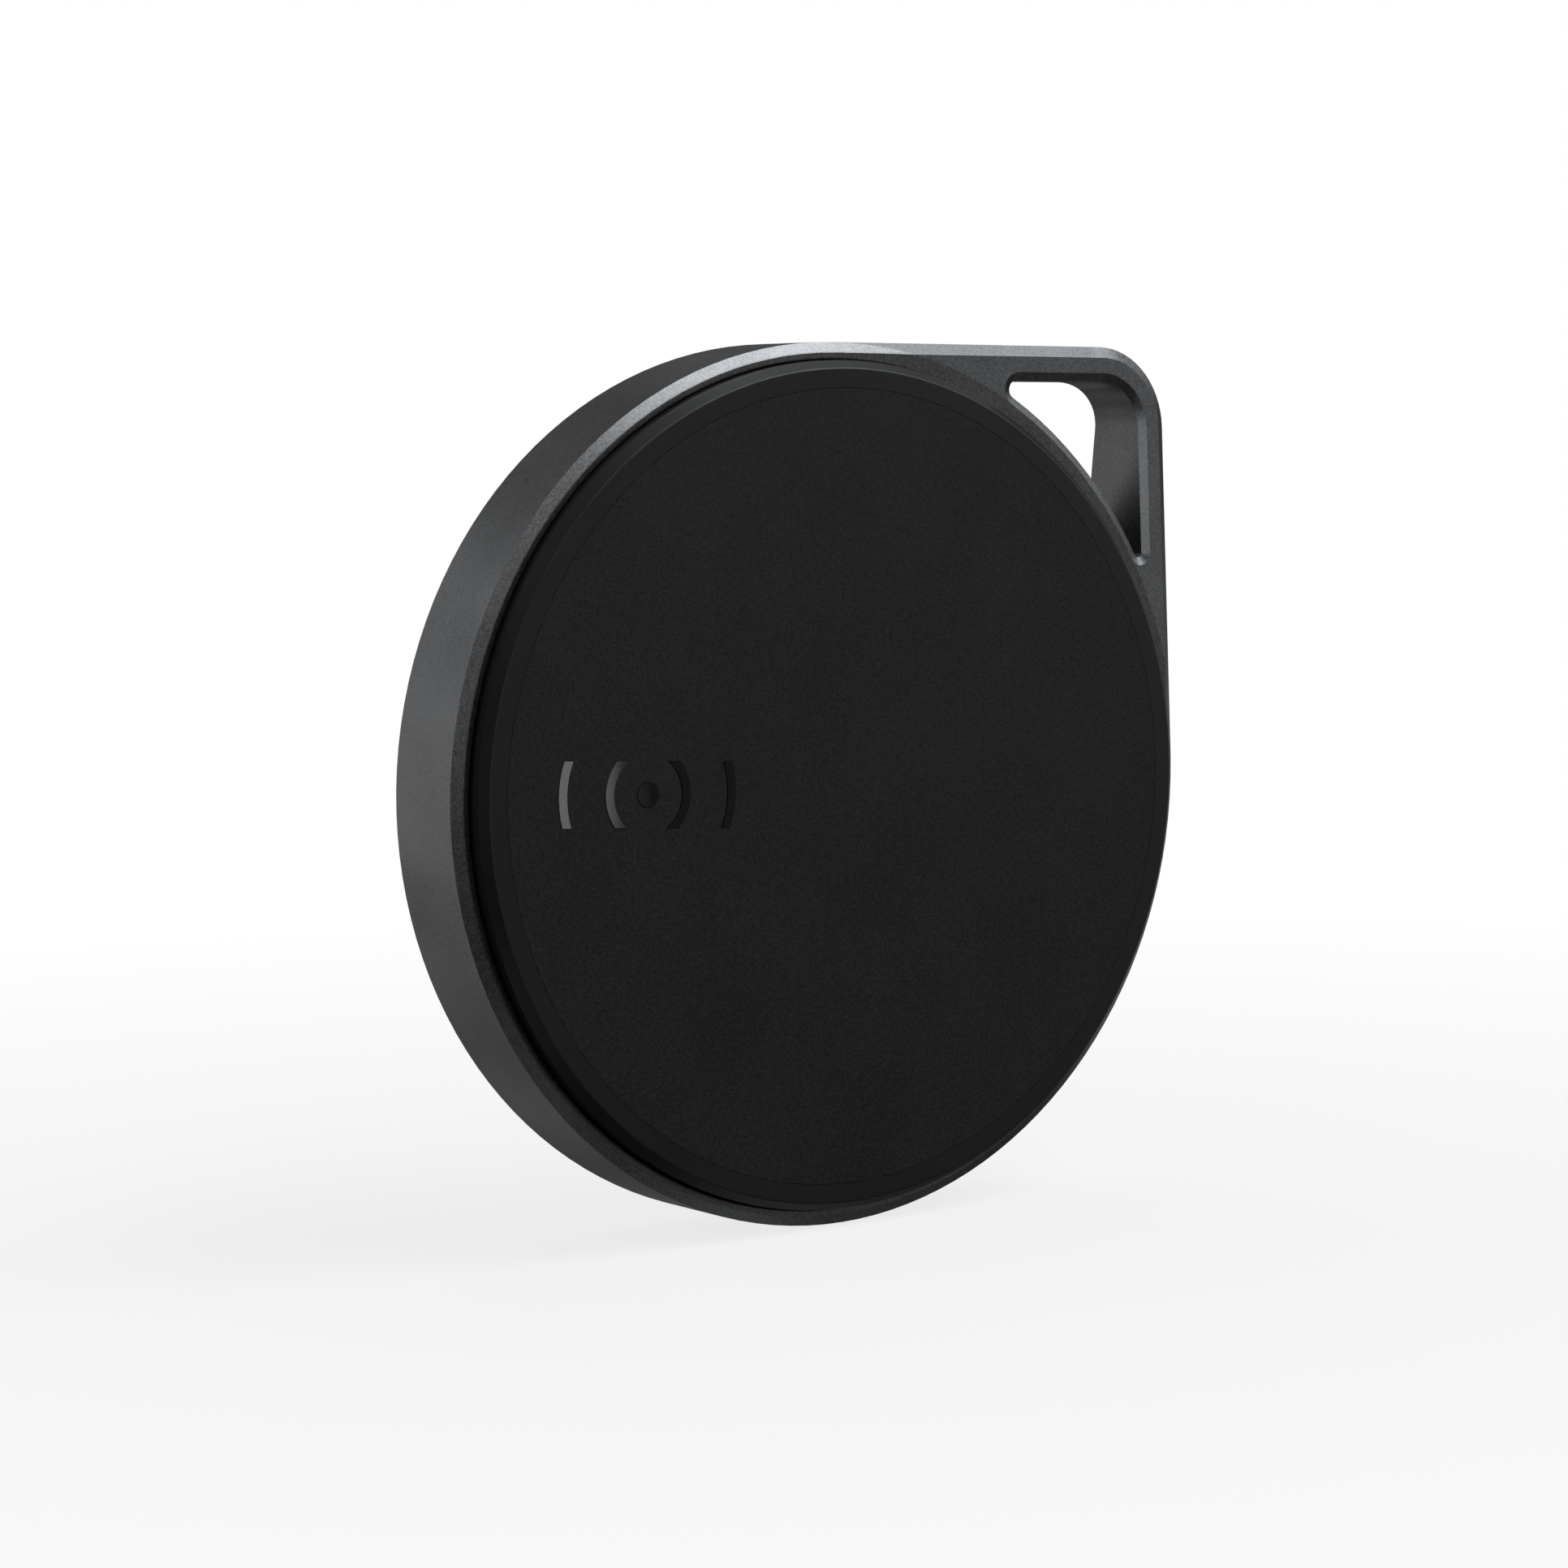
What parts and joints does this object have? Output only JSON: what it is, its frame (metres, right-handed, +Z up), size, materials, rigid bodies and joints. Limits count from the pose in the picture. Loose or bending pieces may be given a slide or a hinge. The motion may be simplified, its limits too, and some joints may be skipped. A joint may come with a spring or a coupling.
{
  "type": "bluetooth tracker tag",
  "caption": "Round key-finder tag: metal rim with a square-cornered key-ring ear, pressing front cover, twist-off battery cover, coin cell, circuit board and buzzer inside.",
  "frame": {"origin": "on the axis of the round body, at the middle of the tag's thickness", "axes": "+Y along the body's axis, from the front cover to the battery cover; +Z up; the ear points to +X +Z"},
  "size_m": [0.04, 0.0072, 0.04],
  "materials": {
    "anodised_rim": "fine bead-blasted, dark grey anodised",
    "black_cover": "smooth satin",
    "black_pad": "fine-grained matt",
    "gloss_mark": "gloss",
    "silicone": "satin silicone",
    "foam": "closed-cell foam",
    "moulded_black": "moulded satin",
    "spring_steel": "bright",
    "board_laminate": "solder mask",
    "chip_epoxy": "matt",
    "white_ceramic": "fired",
    "brown_ceramic": "fired",
    "cell_steel": "bright nickel",
    "magnet": "nickel plate",
    "copper_wire": "enamelled",
    "rubber_seal": "satin",
    "sound_cloth": "fine mesh"
  },
  "bodies": {
    "tag_body": {"frame": "anodised_rim", "cover_gasket": "foam", "switch_base": "moulded_black", "switch_dome": "spring_steel", "circuit_board": "board_laminate", "bluetooth_chip": "chip_epoxy", "motion_sensor": "chip_epoxy", "chip_antenna": "white_ceramic", "crystals": "spring_steel", "chip_parts": "brown_ceramic", "negative_contact": "spring_steel", "positive_contacts": "spring_steel", "cell_can": "cell_steel", "cell_cap": "cell_steel", "cell_seal": "moulded_black", "buzzer_case": "moulded_black", "buzzer_diaphragm": "spring_steel", "buzzer_magnet": "magnet", "buzzer_coil": "copper_wire", "buzzer_core": "spring_steel", "chassis": "moulded_black", "chassis_screws": "spring_steel"},
    "front_button": {"front_cover": "black_cover", "front_pad": "black_pad", "beacon_mark": "gloss_mark", "button_plunger": "silicone"},
    "battery_cover": {"rear_cover": "black_cover", "seal_ring": "rubber_seal", "cell_pad": "foam", "sound_mesh": "sound_cloth"}
  },
  "joints": [
    {"name": "button_press", "type": "slide", "parent": "tag_body", "child": "front_button", "axis": [0, 1, 0], "range_m": [0, 0.0002], "stiffness_N_per_m": 2000, "springref_m": -0.0006, "deforming": ["switch_dome", "cover_gasket"]},
    {"name": "cover_twist", "type": "hinge", "parent": "tag_body", "child": "battery_cover", "pos_m": [0, 0, 0], "axis": [0, 1, 0], "range_deg": [0, 25]}
  ]
}
